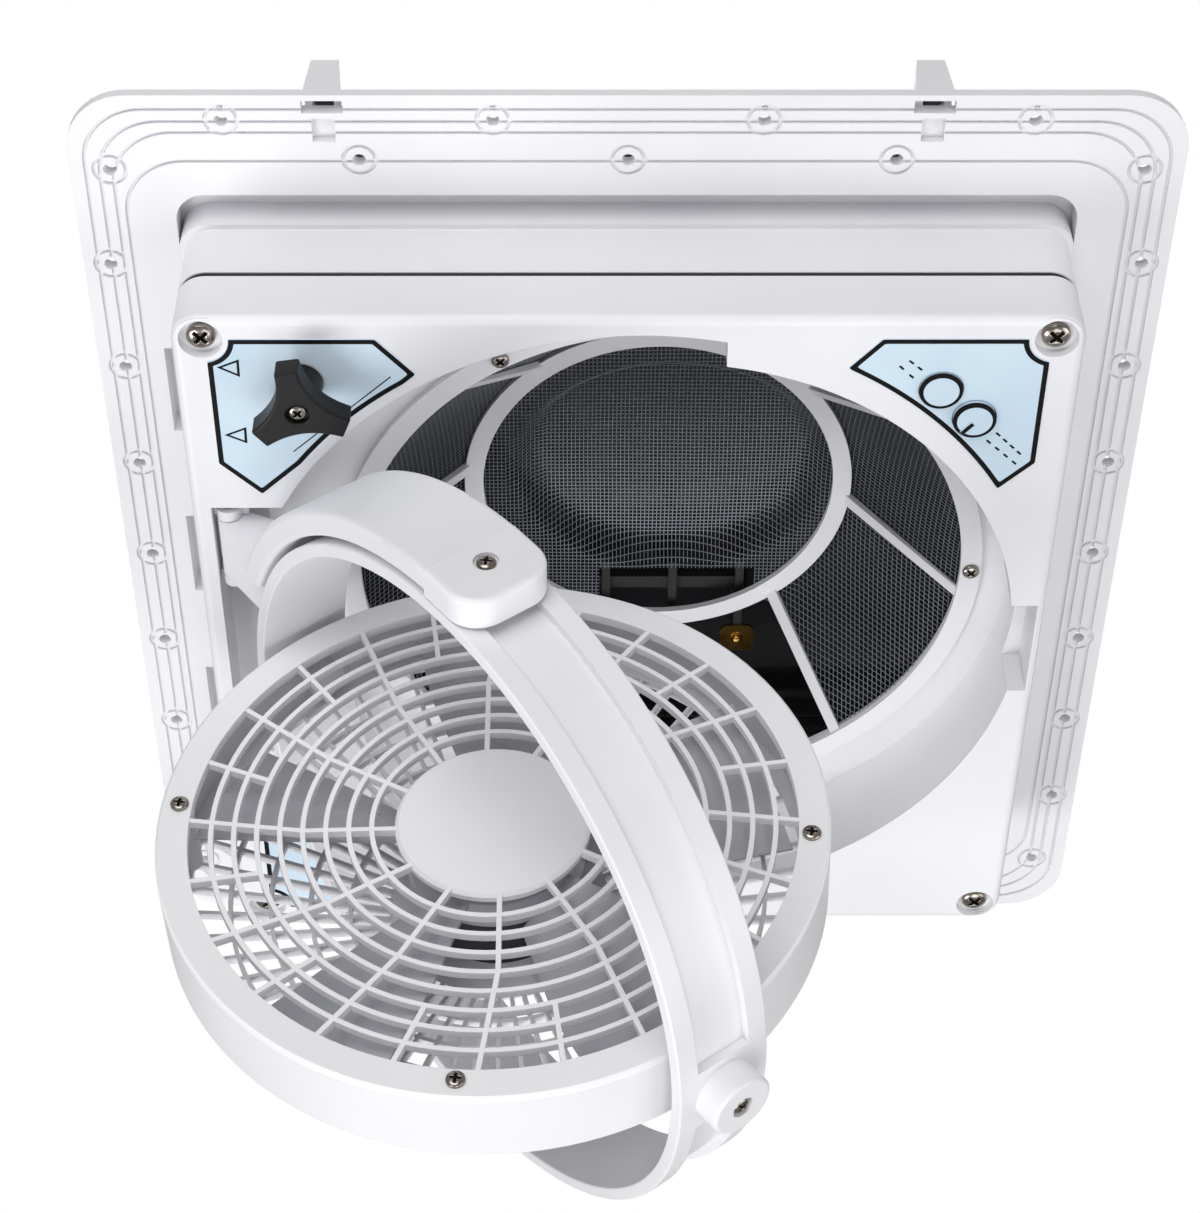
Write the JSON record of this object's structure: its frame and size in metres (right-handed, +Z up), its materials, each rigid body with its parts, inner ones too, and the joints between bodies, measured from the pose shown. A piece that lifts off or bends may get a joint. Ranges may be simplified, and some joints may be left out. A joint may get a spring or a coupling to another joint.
{
  "type": "roof vent fan",
  "caption": "Camper roof vent: flanged throat with hinged lid, knob-driven lift and insect screen, and a caged fan in a gimbal ring on a swing-out arm.",
  "frame": {"origin": "centre of the roof flange in plan, on its underside, which lies on the roof", "axes": "+Z up to the sky, -Z into the cabin; -Y towards the lid hinge; +X to the side of the speed dial"},
  "size_m": [0.4348, 0.472, 0.386],
  "materials": {
    "white_plastic": "smooth moulded plastic, satin",
    "bracket_plastic": "moulded plastic",
    "blade_plastic": "moulded plastic",
    "black_rubber": "soft foam rubber",
    "screw_steel": "nickel-plated cross-head screw",
    "pin_steel": "plain steel",
    "label_blue": "printed light blue panel",
    "control_blue": "light blue cap with dark rim",
    "black_plastic": "textured black plastic",
    "screen_mesh": "coated insect mesh",
    "motor_black": "black can",
    "gold_zinc": "yellow zinc plate",
    "smoke_plastic": "smoked plastic, glossy",
    "gear_plastic": "natural acetal",
    "board_green": "circuit board"
  },
  "bodies": {
    "root": {"roof_flange": "white_plastic", "throat_housing": "white_plastic", "box_seal": "black_rubber", "bezel": "white_plastic", "bezel_screws": "screw_steel", "left_label": "label_blue", "right_label": "label_blue", "lower_label": "label_blue", "screen_frame": "white_plastic", "insect_screen": "screen_mesh", "screen_screws": "screw_steel", "hinge_bracket": "bracket_plastic", "hinge_pin": "pin_steel", "lid_gasket": "black_rubber", "lid_hinge_pins": "pin_steel", "lift_axle": "pin_steel", "lift_bracket": "bracket_plastic", "button_switch": "black_plastic", "dial_switch": "black_plastic", "control_board": "board_green"},
    "lid": {"lid_dome": "smoke_plastic", "lid_rail": "bracket_plastic", "lid_stiffener": "black_plastic", "stiffener_plate": "gold_zinc"},
    "lifter": {"lift_arm": "gold_zinc", "lift_pin": "pin_steel", "lift_gear": "gear_plastic"},
    "knob": {"worm_shaft": "pin_steel", "lift_knob": "black_plastic", "knob_screw": "screw_steel"},
    "arm": {"swing_arm": "white_plastic"},
    "ring": {"gimbal_ring": "white_plastic", "swivel_stud": "pin_steel", "swivel_screw": "screw_steel"},
    "trunnion": {"tilt_trunnions": "bracket_plastic", "trunnion_screws": "screw_steel"},
    "fan": {"fan_housing": "white_plastic", "front_grille": "white_plastic", "grille_screws": "screw_steel", "rear_grille": "white_plastic", "motor": "motor_black"},
    "rotor": {"motor_shaft": "pin_steel", "fan_blades": "blade_plastic"},
    "button": {"power_button": "control_blue"},
    "dial": {"speed_dial": "control_blue"}
  },
  "joints": [
    {"name": "arm_swing", "type": "hinge", "parent": "root", "child": "arm", "pos_m": [-0.1615, 0, -0.056], "axis": [0, 1, 0], "range_deg": [-53, 27]},
    {"name": "ring_swivel", "type": "hinge", "parent": "arm", "child": "ring", "pos_m": [-0.05195, -0.006, -0.18143], "axis": [0, -1, 0], "range_deg": [0, 180]},
    {"name": "tilt_follow", "type": "hinge", "parent": "ring", "child": "trunnion", "pos_m": [-0.05195, -0.006, -0.18143], "axis": [-0.6018, 0, 0.7986], "range_deg": [-88.5, 45.5]},
    {"name": "fan_aim", "type": "hinge", "parent": "trunnion", "child": "fan", "pos_m": [-0.05195, -0.006, -0.18143], "axis": [-0.6018, 0, 0.7986], "range_deg": [0, 180]},
    {"name": "blade_spin", "type": "hinge", "parent": "fan", "child": "rotor", "pos_m": [-0.05195, -0.006, -0.18143], "axis": [0.0279, 0.9994, 0.021], "continuous": true},
    {"name": "lid_tilt", "type": "hinge", "parent": "root", "child": "lid", "pos_m": [0, -0.226, 0.017], "axis": [1, 0, 0], "range_deg": [0, 60]},
    {"name": "lift_arm_turn", "type": "hinge", "parent": "root", "child": "lifter", "pos_m": [-0.127, -0.1225, 0.0347], "axis": [1, 0, 0], "range_deg": [-0.5, 120.5]},
    {"name": "knob_turn", "type": "hinge", "parent": "root", "child": "knob", "pos_m": [-0.127, -0.1455, -0.07], "axis": [0, 0, 1], "range_deg": [-5, 2405]},
    {"name": "dial_turn", "type": "hinge", "parent": "root", "child": "dial", "pos_m": [0.13605, -0.12725, -0.0615], "axis": [0, 0, 1], "range_deg": [-140, 140]},
    {"name": "button_press", "type": "slide", "parent": "root", "child": "button", "axis": [0, 0, 1], "range_m": [0, 0.0012], "stiffness_N_per_m": 400}
  ],
  "couplings": [
    {"joint": "tilt_follow", "follows": "arm_swing", "ratio": 1.6604},
    {"joint": "lift_arm_turn", "follows": "lid_tilt", "ratio": 2},
    {"joint": "knob_turn", "follows": "lid_tilt", "ratio": 40}
  ]
}
